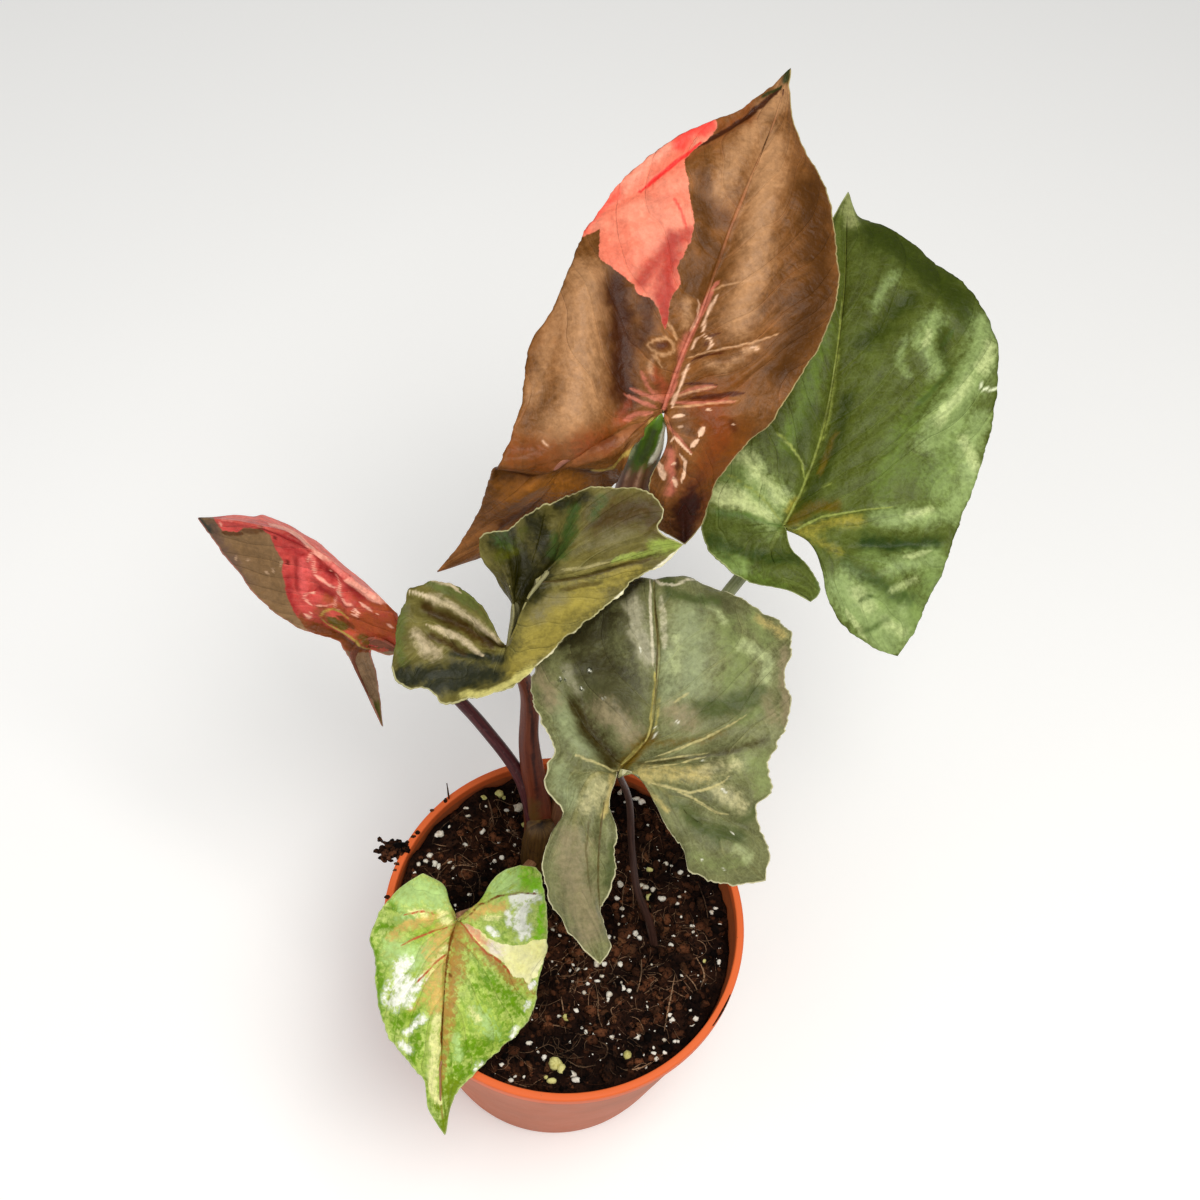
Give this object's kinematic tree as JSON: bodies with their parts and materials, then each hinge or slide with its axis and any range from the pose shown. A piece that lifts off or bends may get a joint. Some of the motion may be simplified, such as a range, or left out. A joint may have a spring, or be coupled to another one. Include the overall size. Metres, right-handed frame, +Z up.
{
  "type": "potted strawberry ice syngonium",
  "caption": "Potted syngonium with arrow-shaped pink, bronze, cream and green variegated leaves on long arching stalks, in a round terracotta-coloured plastic nursery pot.",
  "frame": {"origin": "centre of the pot's flat underside", "axes": "+Z up, -Y towards the front of the plant as it is looked at"},
  "size_m": [0.2112, 0.2332, 0.2533],
  "materials": {
    "pot": "terracotta-orange moulded plastic, satin, scuffed and dusty, brighter on the lip",
    "soil": "dark damp peat and bark with white perlite grains and fine roots; stands in for potting mix",
    "crown": "brown-olive stem sheath, slightly fibrous",
    "petiole_bronze": "reddish-brown stalk, satin",
    "petiole_green": "grey-green stalk, satin",
    "petiole_grey": "dark brown stalk, satin",
    "petiole_olive": "reddish-brown stalk, satin",
    "petiole_pink": "dark maroon stalk, satin",
    "petiole_cream": "light brown stalk, satin",
    "leaf_bronze": "bronze leaf with a salmon-pink patch and a pink midrib, waxy gloss",
    "leaf_green": "green leaf with yellow-green veins, satin",
    "leaf_grey": "grey-green leaf with pale veins and water drops, satin",
    "leaf_olive": "olive leaf with a pale curled margin, satin",
    "leaf_pink": "half pink, half taupe-brown leaf, glossy and puckered",
    "leaf_cream": "bright green leaf marbled with cream and orange-brown, glossy"
  },
  "bodies": {
    "root": {"pot": "pot", "soil": "soil", "crown": "crown", "petiole_bronze": "petiole_bronze", "petiole_green": "petiole_green", "petiole_grey": "petiole_grey", "petiole_olive": "petiole_olive", "petiole_pink": "petiole_pink", "petiole_cream": "petiole_cream", "leaf_bronze": "leaf_bronze", "leaf_green": "leaf_green", "leaf_grey": "leaf_grey", "leaf_olive": "leaf_olive", "leaf_pink": "leaf_pink", "leaf_cream": "leaf_cream"}
  },
  "joints": []
}
